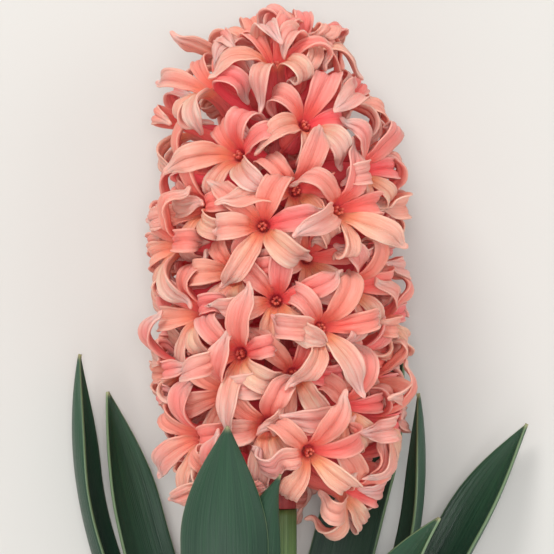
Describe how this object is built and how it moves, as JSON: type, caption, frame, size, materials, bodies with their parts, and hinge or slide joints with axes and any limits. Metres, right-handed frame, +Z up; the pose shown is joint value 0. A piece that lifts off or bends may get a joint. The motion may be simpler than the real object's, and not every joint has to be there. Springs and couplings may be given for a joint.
{
  "type": "hyacinth flower",
  "caption": "Cut hyacinth lying on its back: dense head of curled salmon florets, bare stalk, strap leaves and a slice of bulb plate.",
  "frame": {"origin": "centre of the bounding box in X and Y, on the surface it lies on in Z", "axes": "+Y from the cut end to the top of the flower head, +Z up from the surface it lies on, +X to the viewer's right when looking down on it"},
  "size_m": [0.1339, 0.2607, 0.0774],
  "materials": {
    "petal": "satin, salmon to peach",
    "leaf": "glossy satin, blue green",
    "stalk": "satin, mid green",
    "plate": "matt, cream"
  },
  "bodies": {
    "root": {"flower_head": "petal", "scape": "stalk", "basal_plate": "plate", "leaf_front": "leaf", "leaf_front_inner": "leaf", "leaf_left_outer": "leaf", "leaf_left_inner": "leaf", "leaf_right_outer": "leaf", "leaf_right_inner": "leaf", "leaf_right_front": "leaf", "leaf_behind": "leaf"}
  },
  "joints": []
}
